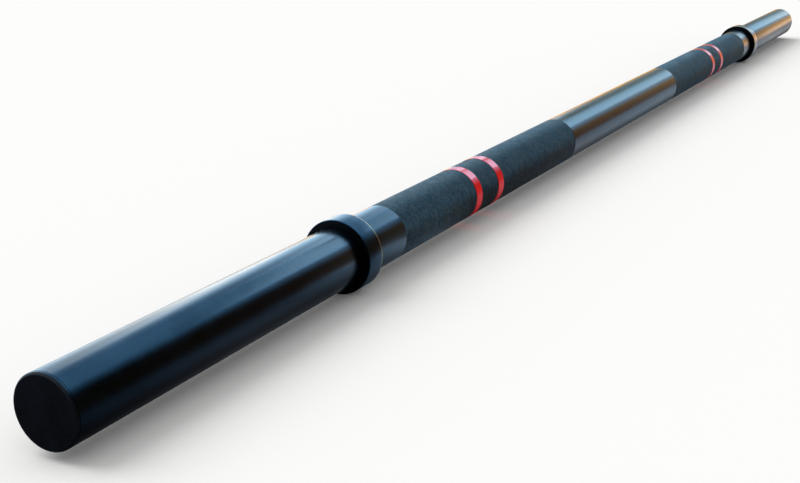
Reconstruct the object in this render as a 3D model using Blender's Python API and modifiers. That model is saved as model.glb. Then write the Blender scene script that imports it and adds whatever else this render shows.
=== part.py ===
# Thick powerlifting bar: a 50 mm shaft tube, and a 50 mm sleeve that spins on a spindle at each end.
# The bar lies along X, its middle at the origin. All sizes are in metres.

import math

import bmesh
import bpy
from mathutils import Matrix

# Lengths along the bar
BETWEEN_COLLARS = 1.310
COLLAR_WIDTH = 0.020
SLEEVE_LENGTH = 0.325
SMOOTH_MIDDLE = 0.400
SMOOTH_BY_COLLAR = 0.052

# Hand-spacing marks: distance between the middles of the inner pair, the step from an inner mark to the
# outer one beside it, and the size of a band
INNER_MARK_SPACING = 0.810
MARK_STEP = 0.050
MARK_WIDTH = 0.012
MARK_THICKNESS = 0.0008

# Diameters and walls
SHAFT_DIAMETER = 0.050
SLEEVE_DIAMETER = 0.050
SHAFT_WALL = 0.0075
COLLAR_RIM_HEIGHT = 0.006
KNURL_ROOT_DEPTH = 0.00025

# The joint between the shaft and a sleeve
COLLAR_COVER = 0.004
SPIGOT_DIAMETER = 0.030
SPIGOT_RELIEF = 0.0004
PLUG_LENGTH = 0.080
BUSH_LENGTH = 0.040
BUSH_WALL = 0.0043
BUSH_SHOULDER = 0.0015
THRUST_WASHER_THICKNESS = 0.002
END_WASHER_THICKNESS = 0.002
SPIGOT_TIP = 0.005
TIP_TO_CAP = 0.010

# Snap ring, of the external kind with two pierced ears
SNAP_RING_THICKNESS = 0.0015
SNAP_GROOVE_DEPTH = 0.001
SNAP_RING_THIN = 0.0022
SNAP_RING_THICK = 0.0036
SNAP_EAR_HEIGHT = 0.0046
SNAP_EAR_HOLE = 0.002
SNAP_GAP_HALF_ANGLE = math.radians(13)
SNAP_EAR_ANGLE = math.radians(19)

# End cap and its seal
CAP_FLANGE = 0.003
CAP_PLUG = 0.012
CAP_RIM_RADIUS = 0.002
CAP_PLUG_WALL = 0.005
CAP_FLOOR = 0.004
SEAL_THICKNESS = 0.0024
SEAL_SINK = 0.0019

# Edge chamfers
COLLAR_CHAMFER = 0.001
TUBE_CHAMFER = 0.0006
SMALL_CHAMFER = 0.0005
PLUG_CHAMFER = 0.0015

# Clearances: between seated pieces, and around what turns
SEAT_GAP = 0.0003
RUNNING_GAP = 0.0004

# Facets around a full turn, for what shows and for what is inside
OUTER_FACETS = 40
INNER_FACETS = 28

# Radii and places that follow from the driving sizes
SHAFT_RADIUS = SHAFT_DIAMETER / 2
SLEEVE_RADIUS = SLEEVE_DIAMETER / 2
COLLAR_RADIUS = max(SHAFT_RADIUS, SLEEVE_RADIUS) + COLLAR_RIM_HEIGHT
SHAFT_BORE_RADIUS = SHAFT_RADIUS - SHAFT_WALL
SPIGOT_RADIUS = SPIGOT_DIAMETER / 2
BUSH_BORE_RADIUS = SPIGOT_RADIUS + RUNNING_GAP
BUSH_RADIUS = BUSH_BORE_RADIUS + BUSH_WALL
SEAT_RADIUS = BUSH_RADIUS + SEAT_GAP
SNAP_GROOVE_RADIUS = SPIGOT_RADIUS - SNAP_GROOVE_DEPTH

# Places at the shaft's end, counted from the collar's inner face
SHAFT_END = COLLAR_COVER
THRUST_WASHER_START = SHAFT_END + SEAT_GAP
TUBE_START = THRUST_WASHER_START + THRUST_WASHER_THICKNESS + SEAT_GAP
SLEEVE_TIP = COLLAR_WIDTH + SLEEVE_LENGTH
CAP_FLANGE_START = SLEEVE_TIP - CAP_FLANGE
TUBE_END = CAP_FLANGE_START - SEAT_GAP
CAP_START = CAP_FLANGE_START - CAP_PLUG
SPIGOT_END = CAP_START - TIP_TO_CAP
SNAP_GROOVE_END = SPIGOT_END - SPIGOT_TIP
SNAP_RING_START = SNAP_GROOVE_END - SEAT_GAP - SNAP_RING_THICKNESS
SNAP_GROOVE_START = SNAP_RING_START - SEAT_GAP
END_WASHER_START = SNAP_RING_START - SEAT_GAP - END_WASHER_THICKNESS
OUTER_BUSH_START = END_WASHER_START - SEAT_GAP - BUSH_LENGTH

SIDES = {"left": -1, "right": 1}
COLLAR_FACE = BETWEEN_COLLARS / 2


def clear_scene():
    for item in list(bpy.data.objects):
        bpy.data.objects.remove(item, do_unlink=True)


def new_collection(name):
    collection = bpy.data.collections.new(name)
    bpy.context.scene.collection.children.link(collection)
    return collection


def new_material(name, color, roughness, metallic):
    material = bpy.data.materials.new(name)
    material.use_nodes = True
    shader = material.node_tree.nodes["Principled BSDF"]
    shader.inputs["Base Color"].default_value = (*color, 1.0)
    shader.inputs["Roughness"].default_value = roughness
    shader.inputs["Metallic"].default_value = metallic
    material.diffuse_color = (*color, 1.0)
    return material


def shade(mesh):
    mesh.shade_smooth()
    mesh.set_sharp_from_angle(angle=math.radians(30))


# An outline is a list of (radius, height) points that runs down the outer side, from top to bottom.
# A closed outline makes a ring. An open one starts and ends on the axis and makes a solid of revolution.
def turned_mesh(name, outline, facets, closed):
    profile = bpy.data.meshes.new(name + "_profile")
    vertices = [(radius, 0.0, height) for radius, height in outline]
    edges = [(index, index + 1) for index in range(len(vertices) - 1)]
    if closed:
        edges.append((len(vertices) - 1, 0))
    profile.from_pydata(vertices, edges, [])
    lathe = bpy.data.objects.new(name + "_lathe", profile)
    bpy.context.scene.collection.objects.link(lathe)
    screw = lathe.modifiers.new("turn", "SCREW")
    screw.axis = "Z"
    screw.angle = math.tau
    screw.steps = facets
    screw.render_steps = facets
    screw.use_merge_vertices = True
    screw.merge_threshold = 0.00001
    mesh = evaluated_mesh(lathe, name)
    shade(mesh)
    return mesh


def evaluated_mesh(source, name):
    evaluated = source.evaluated_get(bpy.context.evaluated_depsgraph_get())
    mesh = bpy.data.meshes.new_from_object(evaluated)
    mesh.name = name
    bpy.data.objects.remove(source, do_unlink=True)
    return mesh


# A quarter round at an outer corner, from the flat top round to the upright side
def quarter_round(radius, top, rounding, steps):
    points = []
    for step in range(steps + 1):
        angle = math.pi / 2 * step / steps
        across = radius - rounding + rounding * math.sin(angle)
        height = top - rounding + rounding * math.cos(angle)
        points.append((across, height))
    return points


# A plain ring with the same chamfer on both of its outer edges
def ring_outline(bore, radius, length, chamfer):
    return [
        (radius - chamfer, length),
        (radius, length - chamfer),
        (radius, chamfer),
        (radius - chamfer, 0.0),
        (bore, 0.0),
        (bore, length),
    ]


def washer_outline(bore, radius, thickness):
    return [(radius, thickness), (radius, 0.0), (bore, 0.0), (bore, thickness)]


def mark_positions():
    inner = INNER_MARK_SPACING / 2
    outer = inner + MARK_STEP
    return {"left_outer": -outer, "left_inner": -inner, "right_inner": inner, "right_outer": outer}


# The stretches of the shaft that are turned below its full diameter: (start, end, radius)
def shaft_zones():
    knurl_radius = SHAFT_RADIUS - KNURL_ROOT_DEPTH
    knurl_start = SMOOTH_MIDDLE / 2
    knurl_end = COLLAR_FACE - SMOOTH_BY_COLLAR
    zones = [(knurl_start, knurl_end, knurl_radius), (-knurl_end, -knurl_start, knurl_radius)]
    groove_half = MARK_WIDTH / 2 + SEAT_GAP
    groove_radius = SHAFT_RADIUS - MARK_THICKNESS - SEAT_GAP
    for middle in mark_positions().values():
        zones.append((middle - groove_half, middle + groove_half, groove_radius))
    return zones


# Between neighbouring edges the shaft has the smallest radius of the zones that hold that stretch
def shaft_outline():
    half = COLLAR_FACE + SHAFT_END
    zones = shaft_zones()
    edges = {half - TUBE_CHAMFER, TUBE_CHAMFER - half}
    for start, end, _ in zones:
        edges.update((start, end))
    edges = sorted(edges, reverse=True)
    outline = [(SHAFT_RADIUS - TUBE_CHAMFER, half)]
    for upper, lower in zip(edges, edges[1:]):
        middle = (upper + lower) / 2
        radii = [radius for start, end, radius in zones if start < middle < end]
        radius = min(radii, default=SHAFT_RADIUS)
        outline.append((radius, upper))
        outline.append((radius, lower))
    outline.append((SHAFT_RADIUS - TUBE_CHAMFER, -half))
    outline.append((SHAFT_BORE_RADIUS + SMALL_CHAMFER, -half))
    outline.append((SHAFT_BORE_RADIUS, SMALL_CHAMFER - half))
    outline.append((SHAFT_BORE_RADIUS, half - SMALL_CHAMFER))
    outline.append((SHAFT_BORE_RADIUS + SMALL_CHAMFER, half))
    return outline


# Plug below height 0 and spigot above it: height 0 is the end face of the shaft tube
def spindle_outline():
    plug_radius = SHAFT_BORE_RADIUS - SEAT_GAP
    relief_radius = SPIGOT_RADIUS - SPIGOT_RELIEF
    relief_start = TUBE_START + BUSH_LENGTH - SHAFT_END
    relief_end = OUTER_BUSH_START - SHAFT_END
    return [
        (0.0, SPIGOT_END - SHAFT_END),
        (SPIGOT_RADIUS - PLUG_CHAMFER, SPIGOT_END - SHAFT_END),
        (SPIGOT_RADIUS, SPIGOT_END - SHAFT_END - PLUG_CHAMFER),
        (SPIGOT_RADIUS, SNAP_GROOVE_END - SHAFT_END),
        (SNAP_GROOVE_RADIUS, SNAP_GROOVE_END - SHAFT_END),
        (SNAP_GROOVE_RADIUS, SNAP_GROOVE_START - SHAFT_END),
        (SPIGOT_RADIUS, SNAP_GROOVE_START - SHAFT_END),
        (SPIGOT_RADIUS, relief_end),
        (relief_radius, relief_end - SPIGOT_RELIEF),
        (relief_radius, relief_start + SPIGOT_RELIEF),
        (SPIGOT_RADIUS, relief_start),
        (SPIGOT_RADIUS, 0.0),
        (plug_radius, 0.0),
        (plug_radius, PLUG_CHAMFER - PLUG_LENGTH),
        (plug_radius - PLUG_CHAMFER, -PLUG_LENGTH),
        (0.0, -PLUG_LENGTH),
    ]


# Height 0 is the sleeve's inner end. A bush seat is bored from each end, with a shoulder at its bottom.
def sleeve_outline():
    length = TUBE_END - TUBE_START
    bore = SEAT_RADIUS - BUSH_SHOULDER
    inner_seat_end = BUSH_LENGTH + SEAT_GAP
    outer_seat_start = OUTER_BUSH_START - SEAT_GAP - TUBE_START
    return [
        (SLEEVE_RADIUS - TUBE_CHAMFER, length),
        (SLEEVE_RADIUS, length - TUBE_CHAMFER),
        (SLEEVE_RADIUS, TUBE_CHAMFER),
        (SLEEVE_RADIUS - TUBE_CHAMFER, 0.0),
        (SEAT_RADIUS, 0.0),
        (SEAT_RADIUS, inner_seat_end),
        (bore, inner_seat_end),
        (bore, outer_seat_start),
        (SEAT_RADIUS, outer_seat_start),
        (SEAT_RADIUS, length - SMALL_CHAMFER),
        (SEAT_RADIUS + SMALL_CHAMFER, length),
    ]


# Bored to grip the sleeve, and wider where it reaches over the end of the shaft
def collar_outline():
    grip_radius = SLEEVE_RADIUS + SEAT_GAP
    cover_radius = SHAFT_RADIUS + RUNNING_GAP
    return [
        (COLLAR_RADIUS - COLLAR_CHAMFER, COLLAR_WIDTH),
        (COLLAR_RADIUS, COLLAR_WIDTH - COLLAR_CHAMFER),
        (COLLAR_RADIUS, COLLAR_CHAMFER),
        (COLLAR_RADIUS - COLLAR_CHAMFER, 0.0),
        (cover_radius, 0.0),
        (cover_radius, THRUST_WASHER_START),
        (grip_radius, TUBE_START),
        (grip_radius, COLLAR_WIDTH),
    ]


# Height 0 is the cup's inner rim. The flange closes the sleeve, and the cup's groove holds the seal.
def cap_outline():
    top = CAP_PLUG + CAP_FLANGE
    plug_radius = SEAT_RADIUS - SEAT_GAP
    seal_start = (CAP_PLUG - SEAL_THICKNESS) / 2 - SEAT_GAP
    seal_end = (CAP_PLUG + SEAL_THICKNESS) / 2 + SEAT_GAP
    seal_floor = plug_radius - SEAL_SINK
    cup_radius = plug_radius - CAP_PLUG_WALL
    cup_floor = top - CAP_FLOOR
    outline = [(0.0, top)]
    outline += quarter_round(SLEEVE_RADIUS, top, CAP_RIM_RADIUS, 4)
    outline += [
        (SLEEVE_RADIUS, CAP_PLUG + SMALL_CHAMFER),
        (SLEEVE_RADIUS - SMALL_CHAMFER, CAP_PLUG),
        (plug_radius, CAP_PLUG),
        (plug_radius, seal_end),
        (seal_floor, seal_end),
        (seal_floor, seal_start),
        (plug_radius, seal_start),
        (plug_radius, SMALL_CHAMFER),
        (plug_radius - SMALL_CHAMFER, 0.0),
        (cup_radius, 0.0),
        (cup_radius, cup_floor),
        (0.0, cup_floor),
    ]
    return outline


# A round cord in the cap's groove, pressed flat where it meets the groove's floor and the sleeve's bore
def seal_outline():
    outer = SEAT_RADIUS - SEAT_GAP / 2
    inner = SEAT_RADIUS - SEAT_GAP - SEAL_SINK + SEAT_GAP / 2
    middle = (outer + inner) / 2
    across = (outer - inner) / 2
    outline = []
    for step in range(8):
        angle = math.tau * (step + 0.5) / 8
        height = SEAL_THICKNESS / 2 * (1 + math.cos(angle) / math.cos(math.pi / 8))
        outline.append((middle + across * math.sin(angle) / math.cos(math.pi / 8), height))
    return outline


def arc_points(radius_at, start, end, steps):
    points = []
    for step in range(steps + 1):
        angle = start + (end - start) * step / steps
        radius = radius_at(angle)
        points.append((radius * math.cos(angle), radius * math.sin(angle)))
    return points


# The ring is thin beside its ears and thickest opposite the gap, which lies at angle 0
def snap_ring_loops():
    bore = SNAP_GROOVE_RADIUS + SEAT_GAP
    ear_radius = bore + SNAP_EAR_HEIGHT
    ear_start = SNAP_GAP_HALF_ANGLE
    ear_end = ear_start + SNAP_EAR_ANGLE
    far_start = math.tau - ear_end
    far_end = math.tau - ear_start

    def back_radius(angle):
        swell = (1 - math.cos(angle)) / 2
        return bore + SNAP_RING_THIN + (SNAP_RING_THICK - SNAP_RING_THIN) * swell

    outline = arc_points(lambda angle: ear_radius, ear_start, ear_end, 3)
    outline += arc_points(back_radius, ear_end, far_start, 24)
    outline += arc_points(lambda angle: ear_radius, far_start, far_end, 3)
    outline += arc_points(lambda angle: bore, far_end, ear_start, 26)
    loops = [outline]
    hole_distance = bore + SNAP_EAR_HEIGHT / 2
    for angle in ((ear_start + ear_end) / 2, (far_start + far_end) / 2):
        center = (hole_distance * math.cos(angle), hole_distance * math.sin(angle))
        hole = arc_points(lambda turn: SNAP_EAR_HOLE / 2, 0.0, math.tau * 7 / 8, 7)
        loops.append([(center[0] + x, center[1] + y) for x, y in hole])
    return loops


# A flat outline with holes, extruded upwards from height 0
def plate_mesh(name, loops, thickness):
    curve = bpy.data.curves.new(name, "CURVE")
    curve.dimensions = "2D"
    curve.fill_mode = "BOTH"
    curve.extrude = thickness / 2
    for loop in loops:
        spline = curve.splines.new("POLY")
        spline.points.add(len(loop) - 1)
        for point, (x, y) in zip(spline.points, loop):
            point.co = (x, y, 0.0, 1.0)
        spline.use_cyclic_u = True
    plate = bpy.data.objects.new(name, curve)
    bpy.context.scene.collection.objects.link(plate)
    mesh = evaluated_mesh(plate, name)
    edit = bmesh.new()
    edit.from_mesh(mesh)
    bmesh.ops.remove_doubles(edit, verts=edit.verts, dist=0.00001)
    bmesh.ops.recalc_face_normals(edit, faces=edit.faces)
    bmesh.ops.translate(edit, verts=edit.verts, vec=(0.0, 0.0, thickness / 2))
    edit.to_mesh(mesh)
    edit.free()
    shade(mesh)
    return mesh


# An empty on the bar's axis, its own Z pointing outwards along the bar. Half a facet of turn puts a flat
# of every outer piece at the bottom.
def axis_frame(name, sign, distance, collection):
    frame = bpy.data.objects.new(name, None)
    frame.empty_display_size = 0.05
    place = Matrix.Translation((sign * distance, 0.0, 0.0))
    outwards = Matrix.Rotation(sign * math.pi / 2, 4, "Y")
    half_facet = Matrix.Rotation(math.pi / OUTER_FACETS, 4, "Z")
    frame.matrix_world = place @ outwards @ half_facet
    collection.objects.link(frame)
    return frame


def add_part(name, mesh, material, parent, height, collection):
    part = bpy.data.objects.new(name, mesh)
    part.parent = parent
    part.location = (0.0, 0.0, height)
    if not mesh.materials:
        mesh.materials.append(material)
    collection.objects.link(part)
    return part


def build_materials():
    return {
        "black_coat": new_material("black_coat", (0.018, 0.022, 0.028), 0.28, 0.6),
        "red_enamel": new_material("red_enamel", (0.42, 0.012, 0.012), 0.22, 0.0),
        "cap_black": new_material("cap_black", (0.012, 0.012, 0.014), 0.6, 0.3),
        "ground_steel": new_material("ground_steel", (0.55, 0.56, 0.58), 0.3, 1.0),
        "bronze": new_material("bronze", (0.55, 0.36, 0.16), 0.35, 1.0),
        "spring_steel": new_material("spring_steel", (0.16, 0.16, 0.17), 0.4, 1.0),
        "seal_rubber": new_material("seal_rubber", (0.02, 0.02, 0.02), 0.8, 0.0),
    }


# One mesh for each kind of piece. The pieces on both sides share it.
def build_meshes():
    bush = ring_outline(BUSH_BORE_RADIUS, BUSH_RADIUS, BUSH_LENGTH, SMALL_CHAMFER)
    thrust_radius = SHAFT_RADIUS - SMALL_CHAMFER
    thrust = washer_outline(BUSH_BORE_RADIUS, thrust_radius, THRUST_WASHER_THICKNESS)
    end = washer_outline(BUSH_BORE_RADIUS, BUSH_RADIUS - SMALL_CHAMFER, END_WASHER_THICKNESS)
    mark = washer_outline(SHAFT_RADIUS - MARK_THICKNESS, SHAFT_RADIUS, MARK_WIDTH)
    return {
        "shaft": turned_mesh("shaft", shaft_outline(), OUTER_FACETS, True),
        "mark": turned_mesh("mark", mark, OUTER_FACETS, True),
        "spindle": turned_mesh("spindle", spindle_outline(), INNER_FACETS, False),
        "thrust_washer": turned_mesh("thrust_washer", thrust, INNER_FACETS, True),
        "end_washer": turned_mesh("end_washer", end, INNER_FACETS, True),
        "bush": turned_mesh("bush", bush, INNER_FACETS, True),
        "snap_ring": plate_mesh("snap_ring", snap_ring_loops(), SNAP_RING_THICKNESS),
        "sleeve": turned_mesh("sleeve", sleeve_outline(), OUTER_FACETS, True),
        "collar": turned_mesh("collar", collar_outline(), OUTER_FACETS, True),
        "cap": turned_mesh("cap", cap_outline(), OUTER_FACETS, False),
        "seal": turned_mesh("seal", seal_outline(), INNER_FACETS, True),
    }


def build_shaft(meshes, materials, bar):
    frame = axis_frame("bar_axis", 1, 0.0, bar)
    add_part("shaft_tube", meshes["shaft"], materials["black_coat"], frame, 0.0, bar)
    for label, middle in mark_positions().items():
        start = middle - MARK_WIDTH / 2
        add_part("ring_mark_" + label, meshes["mark"], materials["red_enamel"], frame, start, bar)


# What stays with the shaft at one end: the spindle and the pieces that it carries
def build_spindle(side, meshes, materials, bar):
    frame = axis_frame(side + "_spindle_axis", SIDES[side], COLLAR_FACE, bar)
    pieces = (
        ("_spindle", "spindle", "ground_steel", SHAFT_END),
        ("_thrust_washer", "thrust_washer", "bronze", THRUST_WASHER_START),
        ("_end_washer", "end_washer", "ground_steel", END_WASHER_START),
        ("_snap_ring", "snap_ring", "spring_steel", SNAP_RING_START),
    )
    for name, mesh, material, height in pieces:
        add_part(side + name, meshes[mesh], materials[material], frame, height, bar)


# What spins at one end: the sleeve and the pieces that are pressed on it and into it
def build_sleeve(side, meshes, materials, bar):
    frame = axis_frame(side + "_sleeve_axis", SIDES[side], COLLAR_FACE, bar)
    seal_start = CAP_START + (CAP_PLUG - SEAL_THICKNESS) / 2
    pieces = (
        ("_sleeve_tube", "sleeve", "black_coat", TUBE_START),
        ("_collar", "collar", "black_coat", 0.0),
        ("_inner_bush", "bush", "bronze", TUBE_START),
        ("_outer_bush", "bush", "bronze", OUTER_BUSH_START),
        ("_end_cap", "cap", "cap_black", CAP_START),
        ("_cap_seal", "seal", "seal_rubber", seal_start),
    )
    for name, mesh, material, height in pieces:
        add_part(side + name, meshes[mesh], materials[material], frame, height, bar)


def main():
    clear_scene()
    bar = new_collection("powerlifting_bar")
    materials = build_materials()
    meshes = build_meshes()
    build_shaft(meshes, materials, bar)
    for side in SIDES:
        build_spindle(side, meshes, materials, bar)
        build_sleeve(side, meshes, materials, bar)


main()
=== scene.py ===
# Looks for the thick powerlifting bar: knurled shaft, blacked sleeves and collars, red hand marks.
# The bar lies along X with its middle at the origin, in metres.

import math

import bpy
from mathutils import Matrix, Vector


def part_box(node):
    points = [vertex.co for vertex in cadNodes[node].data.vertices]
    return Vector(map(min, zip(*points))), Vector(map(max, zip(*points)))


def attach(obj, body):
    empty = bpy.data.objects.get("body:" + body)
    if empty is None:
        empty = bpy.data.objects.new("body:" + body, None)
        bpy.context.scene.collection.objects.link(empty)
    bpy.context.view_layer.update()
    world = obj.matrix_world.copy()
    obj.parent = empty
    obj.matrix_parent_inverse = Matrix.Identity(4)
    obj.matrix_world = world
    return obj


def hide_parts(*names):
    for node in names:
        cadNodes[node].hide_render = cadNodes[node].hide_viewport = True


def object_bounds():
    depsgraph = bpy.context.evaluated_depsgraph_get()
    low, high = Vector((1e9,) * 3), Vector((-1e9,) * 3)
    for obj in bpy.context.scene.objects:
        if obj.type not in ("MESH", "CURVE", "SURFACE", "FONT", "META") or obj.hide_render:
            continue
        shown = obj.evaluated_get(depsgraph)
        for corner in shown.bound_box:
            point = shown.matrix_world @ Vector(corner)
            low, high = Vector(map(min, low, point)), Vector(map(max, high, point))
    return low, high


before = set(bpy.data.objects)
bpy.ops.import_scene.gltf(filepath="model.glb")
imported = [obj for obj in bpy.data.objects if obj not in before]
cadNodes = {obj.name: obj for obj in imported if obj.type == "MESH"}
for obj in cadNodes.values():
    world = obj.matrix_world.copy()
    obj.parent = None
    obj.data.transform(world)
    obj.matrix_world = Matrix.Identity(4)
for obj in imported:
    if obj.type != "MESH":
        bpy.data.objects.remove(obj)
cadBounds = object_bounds()
floorHeight = cadBounds[0].z
print("frame loaded:", len(cadNodes), "nodes")


# Colours and shader nodes

# A hex colour as it is picked on a screen, turned to the linear values that Blender works in. The level
# makes it brighter or darker.
def linearColor(hexText, level=1.0):
    channels = [int(hexText[at:at + 2], 16) / 255 for at in (1, 3, 5)]
    linear = [c / 12.92 if c <= 0.04045 else ((c + 0.055) / 1.055) ** 2.4 for c in channels]
    return (*(c * level for c in linear), 1.0)


# One shader node. Its settings are properties, or inputs by name or number. What feeds an input is another
# node, whose first output is meant, one output of a node, or a plain value.
def addNode(tree, kind, settings=None, feeds=None):
    node = tree.nodes.new(kind)
    for name, value in (settings or {}).items():
        if hasattr(node, str(name)):
            setattr(node, name, value)
        else:
            node.inputs[name].default_value = value
    for name, source in (feeds or {}).items():
        if isinstance(source, bpy.types.Node):
            source = source.outputs[0]
        if isinstance(source, bpy.types.NodeSocket):
            tree.links.new(source, node.inputs[name])
        else:
            node.inputs[name].default_value = source
    return node


def newMaterial(name):
    material = bpy.data.materials.new(name)
    material.use_nodes = True
    material.node_tree.nodes.clear()
    return material, material.node_tree


# Runs each named value smoothly from one level to another between two places, and multiplies the results.
# A step is the start, the end and, if they aren't 0 and 1, the levels there.
def smoothSteps(tree, values, steps):
    product = None
    for name, (start, end, *levels) in steps.items():
        low, high = levels or (0.0, 1.0)
        step = addNode(tree, "ShaderNodeMapRange", {
            "interpolation_type": "SMOOTHSTEP",
            "From Min": start,
            "From Max": end,
            "To Min": low,
            "To Max": high,
        }, {"Value": values[name]})
        if product is None:
            product = step
        else:
            product = addNode(tree, "ShaderNodeMath", {"operation": "MULTIPLY"}, {0: product, 1: step})
    return product


# Modelling by hand in edit mode

def selectNothing():
    bpy.ops.object.select_all(action="DESELECT")
    bpy.context.view_layer.objects.active = None


def selectOnly(piece):
    selectNothing()
    piece.select_set(True)
    bpy.context.view_layer.objects.active = piece


# Selects the vertices, edges or faces that pass a test, and goes to edit mode
def pick(piece, kind, test):
    bpy.ops.object.mode_set(mode="EDIT")
    bpy.ops.mesh.select_mode(type={"vertices": "VERT", "edges": "EDGE", "polygons": "FACE"}[kind])
    bpy.ops.mesh.select_all(action="DESELECT")
    bpy.ops.object.mode_set(mode="OBJECT")
    for part in getattr(piece.data, kind):
        part.select = test(part)
    bpy.ops.object.mode_set(mode="EDIT")


# Turns a piece about the bar's axis: a ring is drawn at the first point of the outline, (place along the
# bar, radius), and pulled from point to point. A closed outline joins its last ring to the first.
def turnPiece(name, outline, facets, closed=True):
    selectNothing()
    x, radius = outline[0]
    quarterTurn = (0.0, math.pi / 2, 0.0)
    bpy.ops.mesh.primitive_circle_add(
        vertices=facets, radius=radius, location=(x, 0.0, 0.0), rotation=quarterTurn)
    piece = bpy.context.object
    piece.name = piece.data.name = name
    bpy.ops.object.transform_apply(location=True, rotation=True, scale=True)
    bpy.ops.object.mode_set(mode="EDIT")
    bpy.ops.mesh.select_mode(type="EDGE")
    bpy.ops.mesh.select_all(action="SELECT")
    if not closed:
        bpy.ops.mesh.edge_face_add()
    for nextX, nextRadius in outline[1:]:
        bpy.ops.mesh.extrude_edges_move(TRANSFORM_OT_translate={"value": (nextX - x, 0.0, 0.0)})
        share = nextRadius / radius
        bpy.ops.transform.resize(value=(1.0, share, share), center_override=(nextX, 0.0, 0.0))
        x, radius = nextX, nextRadius
    if closed:
        last = len(outline) * facets - facets
        pick(piece, "edges", lambda edge: max(edge.vertices) < facets or min(edge.vertices) >= last)
        bpy.ops.mesh.bridge_edge_loops()
    else:
        bpy.ops.mesh.edge_face_add()
    bpy.ops.mesh.select_all(action="SELECT")
    bpy.ops.mesh.normals_make_consistent(inside=False)
    bpy.ops.object.mode_set(mode="OBJECT")
    return piece


# The points of a rounded edge, from one angle to the other about the centre of the rounding
def roundedEdge(center, rounding, fromAngle, toAngle, steps):
    points = []
    for step in range(steps + 1):
        angle = math.radians(fromAngle + (toAngle - fromAngle) * step / steps)
        points.append((center[0] + rounding * math.cos(angle), center[1] + rounding * math.sin(angle)))
    return points


def smoothEdges(piece, degrees=30.0):
    selectOnly(piece)
    bpy.ops.object.shade_smooth_by_angle(angle=math.radians(degrees))
    selectNothing()


# How far a point of a piece is from the bar's axis
def axisDistance(point):
    return math.hypot(point.y, point.z)


# The same piece for the other end of the bar, turned half round about the upright axis, with its own mesh
def otherEnd(piece, name):
    selectOnly(piece)
    bpy.ops.object.duplicate()
    twin = bpy.context.object
    twin.name = twin.data.name = name
    twin.rotation_euler.z = math.pi
    bpy.ops.object.transform_apply(location=True, rotation=True, scale=True)
    selectNothing()
    return twin


def finishPiece(piece, material, body, node):
    piece.data.materials.clear()
    piece.data.materials.append(material)
    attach(piece, body)
    if node:
        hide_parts(node)


# Copies a piece of the left sleeve to the right one, and finishes both
def finishBothEnds(left, rightName, material, nodeEnding):
    right = otherEnd(left, rightName)
    for side, piece in (("left", left), ("right", right)):
        finishPiece(piece, material, side + "_sleeve", side + nodeEnding)
    return left, right


# Camera, at the photograph's viewing angle

camera = {
    "place": (-1.4641, -0.4798, 0.3025),
    "looksAlong": (0.8412, 0.4504, -0.2992),
    "lens": 54.82,
    "sensorWidth": 36.0,
    "clipStart": 0.01,
}


def buildCamera():
    data = bpy.data.cameras.new("camera")
    data.lens = camera["lens"]
    data.sensor_width = camera["sensorWidth"]
    data.clip_start = camera["clipStart"]
    item = bpy.data.objects.new("camera", data)
    bpy.context.scene.collection.objects.link(item)
    item.location = camera["place"]
    item.rotation_euler = Vector(camera["looksAlong"]).to_track_quat("-Z", "Y").to_euler()
    bpy.context.scene.camera = item
    print("camera placed")


# Studio: a pale floor, a soft key behind the bar and soft fill all round

studio = {
    "floorColor": "#FDFDFC",
    "floorSize": 60.0,
    "fillLevel": 0.66,
    "keyLevel": 0.34,
    "keyElevation": 50.0,
    "keyAzimuth": 100.0,
    "keyAngle": 50.0,
}


def buildFloor():
    selectNothing()
    bpy.ops.mesh.primitive_plane_add(size=studio["floorSize"], location=(0.0, 0.0, floorHeight))
    floor = bpy.context.object
    floor.name = "floor"
    material, tree = newMaterial("matt_white_floor")
    shader = addNode(tree, "ShaderNodeBsdfPrincipled", {
        "Base Color": linearColor(studio["floorColor"]),
        "Roughness": 1.0,
        "Specular IOR Level": 0.0,
    })
    addNode(tree, "ShaderNodeOutputMaterial", {}, {"Surface": shader})
    floor.data.materials.append(material)


# The world lights the bar at the fill level, and is plain white to the camera and in gloss and glass
def buildWorld():
    world = bpy.data.worlds.new("studio")
    bpy.context.scene.world = world
    world.use_nodes = True
    tree = world.node_tree
    tree.nodes.clear()
    path = addNode(tree, "ShaderNodeLightPath")
    seen = path.outputs["Is Camera Ray"]
    for ray in ("Is Glossy Ray", "Is Transmission Ray"):
        seen = addNode(tree, "ShaderNodeMath", {"operation": "MAXIMUM"}, {0: seen, 1: path.outputs[ray]})
    level = addNode(tree, "ShaderNodeMapRange", {"To Min": studio["fillLevel"]}, {"Value": seen})
    white = (1.0, 1.0, 1.0, 1.0)
    background = addNode(tree, "ShaderNodeBackground", {"Color": white}, {"Strength": level})
    addNode(tree, "ShaderNodeOutputWorld", {}, {"Surface": background})


def buildKey():
    elevation = math.radians(studio["keyElevation"])
    azimuth = math.radians(studio["keyAzimuth"])
    level = math.cos(elevation)
    toKey = Vector((math.cos(azimuth) * level, math.sin(azimuth) * level, math.sin(elevation)))
    sun = bpy.data.lights.new("key", "SUN")
    sun.angle = math.radians(studio["keyAngle"])
    sun.energy = studio["keyLevel"] * math.pi / math.sin(elevation)
    key = bpy.data.objects.new("key", sun)
    bpy.context.scene.collection.objects.link(key)
    key.rotation_euler = toKey.to_track_quat("Z", "Y").to_euler()


# Cards that only the gloss sees: a sky overhead, haze behind the bar, a dark flag before it and the ground.
# A tint runs between stops: a place on the card, the colour there and how bright it is.

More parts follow.
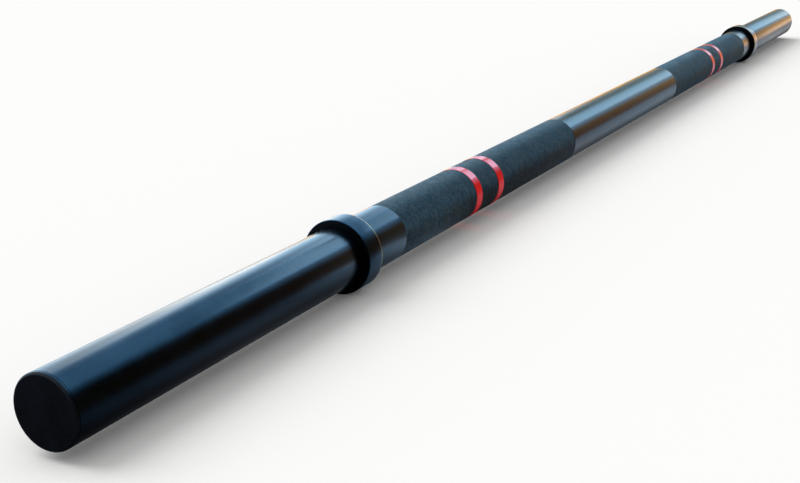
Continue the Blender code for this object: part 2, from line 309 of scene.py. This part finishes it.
tints = {
    "sky": (
        (1.5, "#DAF0FF", 1.9),
        (2.3, "#D8F0FF", 2.2),
        (2.9, "#B8E6FF", 1.6),
        (3.5, "#ACE0FF", 0.95),
        (3.8, "#BCE8FF", 1.7),
        (4.0, "#D0F0FF", 3.7),
        (4.4, "#DCF3FF", 4.3),
        (5.2, "#D0EEFF", 4.1),
        (6.3, "#C0EAFF", 3.9),
        (7.8, "#B8E7FF", 2.85),
        (14.0, "#DCEBF2", 2.2),
    ),
    "skyAcrossNear": (
        (-1.2, "#FFFFFF", 1.05),
        (-0.3, "#F7FDFF", 1.07),
        (0.5, "#DCF3FF", 1.04),
        (1.2, "#C8ECFF", 1.0),
    ),
    "skyAcrossFar": (
        (-2.4, "#FFFFFF", 1.5),
        (-1.2, "#FFFFFF", 1.15),
        (0.0, "#FFFFFF", 0.82),
        (0.9, "#FFFFFC", 0.48),
        (1.8, "#FFFFFA", 0.28),
    ),
    "haze": (
        (-0.15, "#D4EEFF", 2.9),
        (0.04, "#E4F4FF", 2.6),
        (0.21, "#F0F8F8", 2.9),
        (0.36, "#E8F5FA", 4.2),
        (0.5, "#EAF4FA", 4.2),
        (0.9, "#C0E6FF", 2.95),
        (1.2, "#BCE4FF", 2.4),
        (1.5, "#BCE2FF", 2.0),
        (1.8, "#C4E6FF", 2.2),
        (2.1, "#D0EAFF", 3.0),
    ),
    "hazeTop": (
        (-0.8, "#CCEAFF", 1.95),
        (-0.35, "#B8E2FF", 2.1),
        (-0.1, "#B0E0FF", 1.75),
        (0.15, "#A8DCFF", 1.25),
        (0.35, "#A8DCFF", 1.1),
        (0.6, "#ACDEFF", 1.5),
        (0.9, "#B4E2FF", 2.7),
        (1.2, "#BCE6FF", 3.4),
    ),
    "bank": (
        (0.20, "#FFC468", 1.25),
        (0.45, "#D8F2F2", 0.52),
        (2.2, "#D8F2F2", 0.52),
        (5.5, "#B8E7FF", 2.9),
    ),
    "flagTop": (
        (-0.9, "#FF9C52", 0.08),
        (-0.74, "#FF9C52", 0.14),
        (-0.66, "#FF9C52", 0.13),
        (-0.53, "#FFA860", 0.15),
        (-0.49, "#FFB468", 0.42),
        (-0.46, "#FFB468", 0.66),
        (-0.43, "#FFB468", 0.55),
        (-0.38, "#FF9C60", 0.24),
        (-0.2, "#FF9C60", 0.30),
        (-0.1, "#FFB868", 0.52),
        (0.2, "#FFC070", 0.69),
        (0.75, "#FFC070", 1.05),
        (1.0, "#FFBC66", 1.9),
        (1.3, "#FFBC66", 1.5),
    ),
    "flagFoot": (
        (-0.9, "#FFAF82", 0.12),
        (-0.74, "#FFAF82", 0.17),
        (-0.66, "#FFAF82", 0.15),
        (-0.56, "#FFB080", 0.20),
        (-0.52, "#FFD6B8", 0.42),
        (-0.47, "#FFD6B8", 0.52),
        (-0.42, "#FF9C70", 0.20),
        (-0.3, "#FF9C70", 0.34),
        (-0.1, "#FFB890", 0.40),
        (0.5, "#FFD6B8", 0.45),
        (0.75, "#FFD6B8", 0.97),
        (1.0, "#FFD0A8", 3.2),
        (1.3, "#FFD0A8", 2.6),
    ),
    "ground": (
        (-1.0, "#F0F3FF", 0.10),
        (-0.81, "#F0F3FF", 0.30),
        (-0.69, "#DCEEFF", 0.31),
        (-0.6, "#D2ECFF", 0.62),
        (-0.56, "#D2ECFF", 1.00),
        (-0.52, "#E4EDF0", 1.40),
        (-0.48, "#E4EDF0", 0.80),
        (-0.44, "#F4F0F0", 0.22),
        (-0.32, "#F0F0F4", 0.38),
        (-0.16, "#E4ECF8", 0.68),
        (0.1, "#D7EDFF", 0.75),
        (0.7, "#DCECFA", 0.80),
        (0.92, "#ECECF0", 1.05),
        (1.15, "#ECECF0", 0.70),
    ),
    "backGround": ((-0.66, "#DAF0FF", 1.5), (-0.05, "#FFC468", 1.9)),
}

farEnd = 40.0  # half the length of the sky and of the haze, whose ends never show
cardLift = 0.0004  # from the floor up to the first ground card, and from each to the next

# A card has two corners and layers of paint, each over the one before. A layer is plain, or has tints that
# multiply one another. It may be dimmed by smooth steps, and "where" gives the steps that bring it in. Steps
# and tints run along x, y or z, or along a slant or an edge: slant is x plus so many times z, and edge is z
# plus a rise.
cards = {
    # Pale sky, brightest beyond the collar, and dimmer towards the back further on
    "sky_roof": {
        "corners": ((-farEnd, -3.0, 3.0), (farEnd, 3.0, 3.0)),
        "layers": (
            {"tints": {"x": "sky", "y": "skyAcrossNear"}},
            {"tints": {"x": "sky", "y": "skyAcrossFar"}, "where": {"x": (4.2, 5.8)}},
        ),
    },
    # Behind the bar: bright haze low down, and towards the far end a shaded bank with a gold foot
    "side_card": {
        "corners": ((-farEnd, 1.0, floorHeight), (farEnd, 1.0, 4.0)),
        "slant": -0.9,
        "layers": (
            {"tints": {"x": "haze"}, "dimmed": {"z": (0.3, 0.8, 0.82, 1.0)}},
            {"tints": {"slant": "hazeTop"}, "where": {"z": (0.9, 1.9)}},
            {"tints": {"z": "bank"}, "where": {"slant": (1.6, 2.0)}},
        ),
    },
    # In front of the bar: a dark flag with a soft top edge, warmer and lighter towards the far end, where
    # its foot takes the colour of the ground
    "dark_flag": {
        "corners": ((-8.0, -0.1, floorHeight), (8.0, -0.1, 0.1465)),
        "edgeRise": {"x": (-1.0, -0.3, -0.008, 0.018)},
        "layers": (
            {"tints": {"x": "flagFoot"}},
            {"tints": {"x": "flagTop"}, "where": {"z": (0.005, 0.055)}},
            {"tints": {"x": "ground"}, "where": {"z": (0.004, -0.026), "x": (-0.35, 0.05, 0.6, 1.0)}},
            {"plain": ("#BCE6FF", 1.5), "where": {"edge": (0.0615, 0.1465)}},
        ),
    },
    # Under the bar: a painted shadow seen only in the gloss, darkest right below the bar
    "ground_card": {
        "corners": ((-1.6, -0.1, floorHeight + cardLift), (2.2, 0.08, floorHeight + cardLift)),
        "layers": (
            {"tints": {"x": "ground"}, "dimmed": {"y": (-0.058, -0.020, 1.0, 0.22)}},
            {
                "tints": {"x": "ground"},
                "dimmed": {"y": (-0.048, -0.015, 1.0, 0.18)},
                "where": {"x": (-0.66, -0.56)},
            },
        ),
    },
    # Behind the bar the ground is pale near this end and gold further on: the thin bright line along its top
    "back_ground_card": {
        "corners": ((-0.985, 0.055, floorHeight + cardLift * 2), (6.0, 1.0, floorHeight + cardLift * 2)),
        "layers": ({"tints": {"x": "backGround"}},),
    },
    # Before the near end a dark card, a painted shade that the cap's face mirrors
    "front_ground_card": {
        "corners": ((-3.0, -1.0, floorHeight + cardLift * 3), (-1.0, 2.0, floorHeight + cardLift * 3)),
        "layers": ({"plain": ("#D7EDFF", 0.05)},),
    },
}


# A run of colours between stops. The colours of a ramp reach 1 at most, so the peak is multiplied in after.
def gradient(tree, value, stops):
    low, high, peak = stops[0][0], stops[-1][0], max(level for _, _, level in stops)
    share = addNode(tree, "ShaderNodeMapRange", {"From Min": low, "From Max": high}, {"Value": value})
    ramp = addNode(tree, "ShaderNodeValToRGB", {}, {"Fac": share})
    elements = ramp.color_ramp.elements
    for place, _, _ in stops[1:-1]:
        elements.new((place - low) / (high - low))
    for element, (_, color, level) in zip(elements, stops):
        element.color = linearColor(color, level / peak)
    return addNode(tree, "ShaderNodeVectorMath", {"operation": "SCALE", "Scale": peak}, {0: ramp})


# The colour of a card, layer over layer
def paintLayers(tree, values, layers):
    color = None
    for layer in layers:
        if "plain" in layer:
            paint = linearColor(*layer["plain"])
        else:
            runs = [gradient(tree, values[axis], tints[tint]) for axis, tint in layer["tints"].items()]
            paint = runs[0]
            for run in runs[1:]:
                paint = addNode(tree, "ShaderNodeVectorMath", {"operation": "MULTIPLY"}, {0: paint, 1: run})
        if "dimmed" in layer:
            level = smoothSteps(tree, values, layer["dimmed"])
            paint = addNode(tree, "ShaderNodeVectorMath", {"operation": "SCALE"}, {0: paint, "Scale": level})
        if color is None:
            color = paint
        else:
            share = smoothSteps(tree, values, layer["where"])
            mixed = addNode(tree, "ShaderNodeMix", {"data_type": "RGBA"}, {0: share, 6: color, 7: paint})
            color = mixed.outputs[2]
    return color


# A flat plane, level or upright, between two corners
def addPlane(name, low, high):
    upright = high[2] > low[2]
    middle = [(a + b) / 2 for a, b in zip(low, high)]
    selectNothing()
    turn = (math.pi / 2 if upright else 0.0, 0.0, 0.0)
    bpy.ops.mesh.primitive_plane_add(size=1.0, location=middle, rotation=turn)
    card = bpy.context.object
    card.name = card.data.name = name
    card.scale = (high[0] - low[0], high[2] - low[2] if upright else high[1] - low[1], 1.0)
    bpy.ops.object.transform_apply(location=True, rotation=True, scale=True)
    return card


# Only the gloss that is looked at sees a card: once light has bounced off a dull surface the card is dark,
# so that it throws no light on the floor
def buildCards():
    for name, settings in cards.items():
        card = addPlane(name, *settings["corners"])
        material, tree = newMaterial(name)
        place = addNode(tree, "ShaderNodeTexCoord").outputs["Object"]
        split = addNode(tree, "ShaderNodeSeparateXYZ", {}, {0: place})
        values = {"x": split.outputs["X"], "y": split.outputs["Y"], "z": split.outputs["Z"]}
        if "slant" in settings:
            times = {"operation": "MULTIPLY_ADD", 1: settings["slant"]}
            values["slant"] = addNode(tree, "ShaderNodeMath", times, {0: values["z"], 2: values["x"]})
        if "edgeRise" in settings:
            rise = smoothSteps(tree, values, settings["edgeRise"])
            values["edge"] = addNode(tree, "ShaderNodeMath", {"operation": "ADD"}, {0: values["z"], 1: rise})
        color = paintLayers(tree, values, settings["layers"])
        bounces = addNode(tree, "ShaderNodeLightPath").outputs["Diffuse Depth"]
        direct = addNode(tree, "ShaderNodeMath", {"operation": "LESS_THAN", 1: 0.5}, {0: bounces})
        glow = addNode(tree, "ShaderNodeEmission", {}, {"Color": color, "Strength": direct})
        addNode(tree, "ShaderNodeOutputMaterial", {}, {"Surface": glow})
        card.data.materials.append(material)
        card.visible_camera = False
        card.visible_diffuse = False
        card.visible_shadow = False
        card.visible_transmission = False


def buildStudio():
    buildFloor()
    buildWorld()
    buildKey()
    buildCards()
    print("studio set up")


# Finishes. A recipe has noise patterns, each with its scale along X, Y and Z, its detail and its roughness.
# A scale is 1000 over the real size in millimetres, because the patterns read object coordinates in metres.
# Smooth steps turn them into the tone, which the colour is multiplied by, and into the roughness. The bump
# adds up its patterns and has a depth in metres.

# Steel blacked in hot salts after cylindrical grinding: a thin oxide skin, blue-black and glossy, over
# fine rings from the wheel. The rings are a tenth of a millimetre apart on the real bar and are drawn
# six times as coarse, so that they show.
def blackOxide(color, roughness, ringDepth):
    return {
        "color": color,
        "shader": {"Metallic": 1.0, "Roughness": roughness},
        "patterns": {
            "rings": ((1600.0, 12.0, 12.0), 4.0, 0.6),  # 0.6 mm apart
            "streaks": ((260.0, 5.0, 5.0), 4.0, 0.6),  # where the wheel dwelt: 4 mm wide
            "cloud": ((28.0, 40.0, 40.0), 4.0, 0.55),  # the bath's stains: 25 to 35 mm
        },
        "tone": {"cloud": (0.3, 0.7, 0.88, 1.12)},
        "roughness": {"cloud": (0.35, 0.65, roughness * 0.85, roughness * 1.15)},
        "roughStreaks": 0.05,
        "bump": (("rings", "streaks"), ringDepth),
    }


# Bare metal with the marks of its machining: rings along the turned piece, and a mottle in its tone
def bareMetal(color, roughness, ringScale, mottleScale, darkest, bumpDepth):
    return {
        "color": color,
        "shader": {"Metallic": 1.0, "Roughness": roughness},
        "patterns": {
            "rings": ((ringScale, 20.0, 20.0), 3.0, 0.5),
            "mottle": ((mottleScale, mottleScale, mottleScale), 3.0, 0.6),
        },
        "tone": {"mottle": (0.3, 0.7, darkest, 1.0)},
        "roughness": {"rings": (0.3, 0.7, roughness * 0.8, roughness * 1.25)},
        "bump": (("rings", "mottle"), bumpDepth),
    }


# A few specks of lint on the gloss: one cell in five of a 9 mm mesh has a dot
lint = {
    "color": "#55554F",
    "cells": 110.0,
    "where": {"dot": (0.022, 0.042, 1.0, 0.0), "chance": (0.80, 0.82)},
}

recipes = {
    "black_oxide_on_ground_steel": {
        **blackOxide("#1F3342", roughness=0.18, ringDepth=0.000022),
        "overlay": lint,
    },
    # The collar's skin is a touch lighter than the sleeve's, which brightens its reflections
    "black_oxide_on_ground_collar": {
        **blackOxide("#23394A", roughness=0.18, ringDepth=0.000022),
        "overlay": lint,
    },
    # Left as turned, the flat faces under the same skin barely shine, and their near-black colour is a
    # painted shade
    "black_oxide_turned_face_painted_shade": blackOxide("#0A0B0D", roughness=0.4, ringDepth=0.00001),
    # The rolled diamonds break the gloss of the same skin to a dull slate, with chalk dust and hand grease in
    # patches. Dust isn't metal. The slate is darkened down in the grooves, a painted shade, and lightened a
    # touch on the points.
    "black_oxide_on_knurled_steel": {
        "color": "#2D4450",
        "shader": {"Metallic": 1.0, "Roughness": 0.5},
        "patterns": {
            "patches": ((22.0, 35.0, 35.0), 3.0, 0.5),  # grease: 30 to 45 mm
            "specks": ((330.0, 430.0, 430.0), 2.0, 0.6),  # one or two diamonds: 2 to 3 mm
            "rollerMarks": ((210.0, 4.0, 4.0), 2.0, 0.5),  # 5 mm wide, round the bar
            "dust": ((150.0, 90.0, 90.0), 4.0, 0.65),  # chalk: 7 to 11 mm
        },
        "tone": {
            "patches": (0.3, 0.7, 0.88, 1.12),
            "specks": (0.3, 0.7, 0.6, 1.4),
            "rollerMarks": (0.3, 0.7, 0.84, 1.16),
            # Painted shade: darker towards the root of the grooves, lighter on the points
            "axisDistance": (0.02464, 0.02486, 0.4, 1.25),
        },
        "roughness": {"patches": (0.3, 0.7, 0.46, 0.58)},
        "overlay": {"color": "#8A857C", "where": {"dust": (0.35, 0.75, 0.0, 0.08)}, "dulls": True},
    },
    # Stoved enamel in a turned groove: a hard gloss, as crisp as glass, that turns pink where it mirrors
    # the sky, over faint lines half a millimetre apart that the tool left
    "red_stoved_enamel": {
        "color": "#D80C14",
        "shader": {"Roughness": 0.15, "Specular IOR Level": 0.68, "Specular Tint": linearColor("#FFBCF0")},
        "patterns": {
            "lines": ((1900.0, 4.0, 4.0), 1.0, 0.4),  # 0.5 mm apart
            "cloud": ((90.0, 90.0, 90.0), 3.0, 0.5),  # thicker and thinner enamel: 11 mm
        },
        "tone": {"cloud": (0.3, 0.7, 0.92, 1.06), "lines": (0.35, 0.65, 0.93, 1.04)},
        "roughness": {"lines": (0.3, 0.7, 0.13, 0.18)},
        "bump": (("lines",), 0.000001),
    },
    # Anodised after blasting: the dyed skin is near black, and the fine grain under it leaves it satin. Its
    # colour and weak reflection are darker still, a painted shade on the cap's end face. The grain is drawn
    # six times as coarse as it is, so that it shows.
    "black_anodised_aluminium_and_painted_shade": {
        "color": "#080A10",
        "shader": {"Roughness": 0.3, "Specular IOR Level": 0.1},
        "patterns": {
            "grain": ((1500.0, 1500.0, 1500.0), 2.0, 0.5),  # 0.7 mm
            "cloud": ((60.0, 60.0, 60.0), 3.0, 0.5),  # uneven dye: 17 mm
        },
        "tone": {"cloud": (0.3, 0.7, 0.8, 1.3)},
        "roughness": {"grain": (0.3, 0.7, 0.26, 0.36)},
        "bump": (("grain",), 0.00001),
    },
    # A thin warm bright line round the collar's inner rim, with scuffs of 1 mm: a painted highlight on the
    # rounded edge
    "bright_steel_edge_painted_highlight": bareMetal(
        "#B8A684", roughness=0.3, ringScale=1500.0, mottleScale=900.0, darkest=0.5, bumpDepth=0.00001),
    # Ground steel is bright and even, with fine rings, drawn 0.7 mm apart so that they show
    "ground_steel": bareMetal(
        "#B5B8BC", roughness=0.26, ringScale=1500.0, mottleScale=200.0, darkest=0.9, bumpDepth=0.00001),
    # Sintered bearing bronze is a warm brown-gold with open pores that hold the oil, drawn 0.6 mm wide so
    # that they show
    "sintered_bearing_bronze": bareMetal(
        "#A97A3C", roughness=0.36, ringScale=900.0, mottleScale=1800.0, darkest=0.55, bumpDepth=0.00004),
    # Phosphated spring steel is a dull dark grey, mottled by its crystals, drawn 1.4 mm wide
    "phosphated_spring_steel": bareMetal(
        "#55575B", roughness=0.45, ringScale=1200.0, mottleScale=700.0, darkest=0.7, bumpDepth=0.00002),
    # Moulded nitrile rubber is dull and near black, with a faint grey bloom in spots of 3 mm
    "nitrile_rubber": {
        "color": "#111113",
        "shader": {"Roughness": 0.65},
        "patterns": {"bloom": ((300.0, 300.0, 300.0), 3.0, 0.6)},
        "tone": {"bloom": (0.3, 0.7, 0.7, 1.6)},
        "roughness": {"bloom": (0.3, 0.7, 0.55, 0.75)},
    },
}


def buildFinish(name):
    recipe = recipes[name]
    material, tree = newMaterial(name)

    # What the finish varies with: its patterns and, on the knurl, how far out from the bar's axis
    place = addNode(tree, "ShaderNodeTexCoord").outputs["Object"]
    values = {}
    for pattern, (scale, detail, roughness) in recipe["patterns"].items():
        spread = addNode(tree, "ShaderNodeMapping", {"Scale": scale}, {"Vector": place})
        settings = {"Scale": 1.0, "Detail": detail, "Roughness": roughness}
        values[pattern] = addNode(tree, "ShaderNodeTexNoise", settings, {"Vector": spread})
    if "axisDistance" in recipe["tone"]:
        acrossBar = {"operation": "MULTIPLY", 1: (0.0, 1.0, 1.0)}
        across = addNode(tree, "ShaderNodeVectorMath", acrossBar, {0: place})
        length = addNode(tree, "ShaderNodeVectorMath", {"operation": "LENGTH"}, {0: across})
        values["axisDistance"] = length.outputs["Value"]

    # Colour, roughness and relief
    color = linearColor(recipe["color"])
    tone = smoothSteps(tree, values, recipe["tone"])
    base = addNode(tree, "ShaderNodeVectorMath", {"operation": "SCALE", 0: color[:3]}, {"Scale": tone})
    feeds = {"Base Color": base, "Roughness": smoothSteps(tree, values, recipe["roughness"])}
    if "roughStreaks" in recipe:
        times = {"operation": "MULTIPLY_ADD", 1: recipe["roughStreaks"]}
        streaked = addNode(tree, "ShaderNodeMath", times, {0: values["streaks"], 2: feeds["Roughness"]})
        feeds["Roughness"] = streaked
    if "bump" in recipe:
        patterns, depth = recipe["bump"]
        height = values[patterns[0]]
        for pattern in patterns[1:]:
            height = addNode(tree, "ShaderNodeMath", {"operation": "ADD"}, {0: height, 1: values[pattern]})
        feeds["Normal"] = addNode(tree, "ShaderNodeBump", {"Distance": depth}, {"Height": height})
    if "overlay" in recipe:
        addOverlay(tree, place, values, recipe["overlay"], feeds)

    shader = addNode(tree, "ShaderNodeBsdfPrincipled", {"Base Color": color, **recipe["shader"]}, feeds)
    addNode(tree, "ShaderNodeOutputMaterial", {}, {"Surface": shader})
    return material


# Lint or dust over the base colour
def addOverlay(tree, place, values, overlay, feeds):
    if "cells" in overlay:
        cells = addNode(tree, "ShaderNodeTexVoronoi", {"Scale": overlay["cells"]}, {"Vector": place})
        values["dot"] = cells.outputs["Distance"]
        values["chance"] = addNode(tree, "ShaderNodeSeparateColor", {}, {0: cells.outputs["Color"]})
    share = smoothSteps(tree, values, overlay["where"])
    over = {"data_type": "RGBA", 7: linearColor(overlay["color"])}
    feeds["Base Color"] = addNode(tree, "ShaderNodeMix", over, {0: share, 6: feeds["Base Color"]}).outputs[2]
    if overlay.get("dulls"):
        feeds["Metallic"] = addNode(tree, "ShaderNodeMath", {"operation": "SUBTRACT", 0: 1.0}, {1: share})


finishes = {}


def buildFinishes():
    for name in recipes:
        finishes[name] = buildFinish(name)
    print("finishes made:", len(finishes))


# Shaft: smooth in the middle and beside the collars, turned down where the knurl bands lie and, deeper,
# where the red bands lie

shaft = {
    "smoothHalf": 0.200,
    "knurlEnd": 0.603,
    "knurlSeat": 0.00070,
    "markSeatRadius": 0.0239,
    "markSpare": 0.0003,
    "boreRadius": 0.0175,
    "edge": 0.0006,
    "facets": 192,
}


# The three knurl bands on the right half, as pairs of places along the bar
def knurlBands():
    edges = [shaft["smoothHalf"]]
    for name in ("ring_mark_right_inner", "ring_mark_right_outer"):
        low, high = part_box(name)
        edges += [low.x - shaft["markSpare"], high.x + shaft["markSpare"]]
    edges.append(shaft["knurlEnd"])
    return [(edges[at], edges[at + 1]) for at in (0, 2, 4)]


def buildShaft():
    low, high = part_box("shaft_tube")
    radius, edge, markSeat = high.z, shaft["edge"], shaft["markSeatRadius"]
    seat = radius - shaft["knurlSeat"]
    bands = knurlBands()
    half = [(bands[0][0], radius), (bands[0][0], seat)]
    for before, after in zip(bands, bands[1:]):
        half += [(before[1], seat), (before[1], markSeat), (after[0], markSeat), (after[0], seat)]
    half += [(bands[2][1], seat), (bands[2][1], radius)]
    half += [(high.x - edge, radius), (high.x, radius - edge), (high.x, shaft["boreRadius"])]
    outline = [(-x, reach) for x, reach in reversed(half)] + half
    piece = turnPiece("shaft_core", outline, shaft["facets"])
    smoothEdges(piece)
    finishPiece(piece, finishes["black_oxide_on_ground_steel"], "shaft", "shaft_tube")
    print("shaft turned")


# Knurl: crossed grooves run between the diamonds, and every diamond comes to a point. A diamond is nearly
# twice as long along the bar as it is wide.

knurl = {
    "diamondsAround": 136,
    "halfLength": 0.0010,
    "depth": 0.00029,
    "seatSpare": 0.00005,
    "sharpAngle": 15.0,
}


def buildKnurl():
    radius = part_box("shaft_tube")[1].z
    root = radius - knurl["depth"]
    inner = radius - shaft["knurlSeat"] + knurl["seatSpare"]
    halfway = (inner + root) / 2  # parts the band's outside from its inside
    around = knurl["diamondsAround"] * 2
    for (start, end), label in zip(knurlBands(), ("inner", "between", "outer")):
        rows = 2 * round((end - start) / knurl["halfLength"] / 2)
        step = (end - start) / rows
        name = "knurl_" + label
        outline = [(start, inner), (start, root), (end, root), (end, inner)]
        piece = turnPiece("right_" + name, outline, around)

        def isLengthwiseOutside(edge):
            first, second = [piece.data.vertices[index].co for index in edge.vertices]
            return abs(first.x - second.x) > step and axisDistance(first) > halfway

        # Cut in two first, because one call makes 100 cuts at most
        for cuts in (1, rows // 2 - 1):
            pick(piece, "edges", isLengthwiseOutside)
            bpy.ops.mesh.subdivide(number_cuts=cuts)

        # Every second vertex, row after row, is the point of a diamond
        def isPoint(vertex):
            place = vertex.co
            if not start + step / 2 <= place.x <= end - step / 2 or axisDistance(place) < halfway:
                return False
            column = round(math.atan2(place.z, place.y) / math.tau * around)
            return (column + round((place.x - start) / step)) % 2 == 0

        pick(piece, "vertices", isPoint)
        share = radius / root
        bpy.ops.transform.resize(value=(1.0, share, share), center_override=(0.0, 0.0, 0.0))
        pick(piece, "polygons", lambda face: abs(face.normal.x) < 0.9 and axisDistance(face.center) > halfway)
        bpy.ops.mesh.quads_convert_to_tris(quad_method="SHORTEST_DIAGONAL")
        bpy.ops.object.mode_set(mode="OBJECT")
        smoothEdges(piece, knurl["sharpAngle"])
        for item in (piece, otherEnd(piece, "left_" + name)):
            finishPiece(item, finishes["black_oxide_on_knurled_steel"], "shaft", None)
        print(name, "cut:", len(piece.data.polygons), "faces")


# Red mark: a band of enamel, flush with the shaft, its edges barely broken

mark = {"innerRadius": 0.0242, "edge": 0.00005, "facets": 168}


def buildMarks():
    for place in ("left_outer", "left_inner", "right_inner", "right_outer"):
        node = "ring_mark_" + place
        low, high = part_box(node)
        radius, edge, inner = high.z, mark["edge"], mark["innerRadius"]
        outline = [(low.x, inner), (low.x, radius - edge), (low.x + edge, radius)]
        outline += [(high.x - edge, radius), (high.x, radius - edge), (high.x, inner)]
        piece = turnPiece("red_band_" + place, outline, mark["facets"])
        smoothEdges(piece)
        finishPiece(piece, finishes["red_stoved_enamel"], "shaft", node)
    print("red bands set in")


# Sleeve: a tube with a seat for a bush at each end

sleeve = {
    "edge": 0.0006,
    "edgeSteps": 4,
    "capEdge": 0.00015,
    "seatRadius": 0.0200,
    "boreRadius": 0.0185,
    "seatSpare": 0.0003,
    "facets": 192,
}


def buildSleeves():
    low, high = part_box("left_sleeve_tube")
    radius, edge, capEdge = high.z, sleeve["edge"], sleeve["capEdge"]
    seat, bore = sleeve["seatRadius"], sleeve["boreRadius"]
    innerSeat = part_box("left_inner_bush")[0].x - sleeve["seatSpare"]
    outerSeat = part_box("left_outer_bush")[1].x + sleeve["seatSpare"]
    outline = roundedEdge((high.x - edge, radius - edge), edge, 0.0, 90.0, sleeve["edgeSteps"])
    outline += [(low.x + capEdge, radius), (low.x, radius - capEdge)]
    outline += [(low.x, seat), (outerSeat, seat), (outerSeat, bore)]
    outline += [(innerSeat, bore), (innerSeat, seat), (high.x, seat)]
    left = turnPiece("left_loading_sleeve", outline, sleeve["facets"])
    smoothEdges(left)
    black = finishes["black_oxide_on_ground_steel"]
    finishBothEnds(left, "right_loading_sleeve", black, "_sleeve_tube")
    print("sleeves turned")


# Collar: a flat-faced ring with softly rounded rims. Its faces stay as turned and take a near-black painted
# shade, and a thin warm bright line round the inner rim is a painted highlight.

collar = {
    "edge": 0.0006,
    "edgeSteps": 5,
    # The width of the painted highlight round the inner rim
    "highlightLine": 0.0005,
    "gripRadius": 0.0250,
    "coverRadius": 0.0253,
    "coverDepth": 0.0045,
    "facets": 192,
}


def buildCollars():
    low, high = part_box("left_collar")
    radius, edge, steps = high.z, collar["edge"], collar["edgeSteps"]
    grip, cover = collar["gripRadius"], collar["coverRadius"]
    highlightEnd = high.x - edge - collar["highlightLine"]
    coverStart = high.x - collar["coverDepth"]
    outline = roundedEdge((high.x - edge, radius - edge), edge, 0.0, 90.0, steps) + [(highlightEnd, radius)]
    outline += roundedEdge((low.x + edge, radius - edge), edge, 90.0, 180.0, steps)
    outline += [(low.x, grip), (coverStart, grip), (coverStart, cover), (high.x, cover)]
    left = turnPiece("left_collar_ring", outline, collar["facets"])
    smoothEdges(left)
    black = finishes["black_oxide_on_ground_collar"]
    for piece in finishBothEnds(left, "right_collar_ring", black, "_collar"):
        # The flat faces and the bore take the near-black finish, a painted shade
        piece.data.materials.append(finishes["black_oxide_turned_face_painted_shade"])
        piece.data.materials.append(finishes["bright_steel_edge_painted_highlight"])
        for face in piece.data.polygons:
            acrossBar = abs(face.normal.x)  # 1 on a face that looks along the bar
            if acrossBar > 0.99 or axisDistance(face.center) < cover:
                face.material_index = 1
            # A thin band by the inner rim takes the bright finish, a painted highlight
            elif abs(face.center.x) < abs(highlightEnd) and acrossBar < 0.75:
                face.material_index = 2
    print("collars turned")


# End cap: a barely crowned face with a rounded rim, over a cup that carries the seal. The outermost part of
# the rim has the sleeve's finish.

cap = {
    "rim": 0.0021,
    "rimSteps": 8,
    "blackRim": 0.00021,
    "crown": 0.0004,
    "crownSteps": (0.85, 0.65, 0.4, 0.15),
    "flange": 0.0030,
    "backEdge": 0.00015,
    "plugRadius": 0.0197,
    "cupRadius": 0.0147,
    "floorThickness": 0.0040,
    "grooveFloor": 0.0178,
    "grooveStart": 0.0045,
    "grooveEnd": 0.0075,
    "facets": 192,
}


def buildCaps():
    low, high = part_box("left_end_cap")
    radius, rim, crown, backEdge = high.z, cap["rim"], cap["crown"], cap["backEdge"]
    plug, cup, grooveFloor = cap["plugRadius"], cap["cupRadius"], cap["grooveFloor"]
    grooveStart, grooveEnd = high.x - cap["grooveStart"], high.x - cap["grooveEnd"]
    flangeStart = low.x + cap["flange"]
    outline = [(low.x + cap["floorThickness"], cup), (high.x, cup), (high.x, plug)]
    outline += [(grooveStart, plug), (grooveStart, grooveFloor), (grooveEnd, grooveFloor), (grooveEnd, plug)]
    outline += [(flangeStart, plug), (flangeStart, radius - backEdge), (flangeStart - backEdge, radius)]
    outline += roundedEdge((low.x + crown + rim, radius - rim), rim, 90.0, 180.0, cap["rimSteps"])
    outline += [(low.x + crown * share ** 2, (radius - rim) * share) for share in cap["crownSteps"]]
    left = turnPiece("left_cap", outline, cap["facets"], closed=False)
    smoothEdges(left)
    # The cap's finish is near black and barely reflects, partly anodising and partly a painted shade
    anodisedAndShade = finishes["black_anodised_aluminium_and_painted_shade"]
    for piece in finishBothEnds(left, "right_cap", anodisedAndShade, "_end_cap"):
        piece.data.materials.append(finishes["black_oxide_on_ground_steel"])
        for face in piece.data.polygons:
            if axisDistance(face.center) > radius - cap["blackRim"]:
                face.material_index = 1
    print("caps turned")


# Inner pieces keep their solids and get their finish

innerFinishes = {
    "_spindle": "ground_steel",
    "_bush": "sintered_bearing_bronze",
    "_thrust_washer": "sintered_bearing_bronze",
    "_end_washer": "ground_steel",
    "_snap_ring": "phosphated_spring_steel",
    "_cap_seal": "nitrile_rubber",
}


def dressInside():
    for name, item in cadNodes.items():
        for ending, finish in innerFinishes.items():
            if name.endswith(ending):
                for place in item.material_slots:
                    place.link = "OBJECT"
                    place.material = finishes[finish]
    print("inside dressed")


buildCamera()
buildStudio()
buildFinishes()
buildShaft()
buildKnurl()
buildMarks()
buildSleeves()
buildCollars()
buildCaps()
dressInside()

bpy.context.scene.view_settings.view_transform = "Standard"
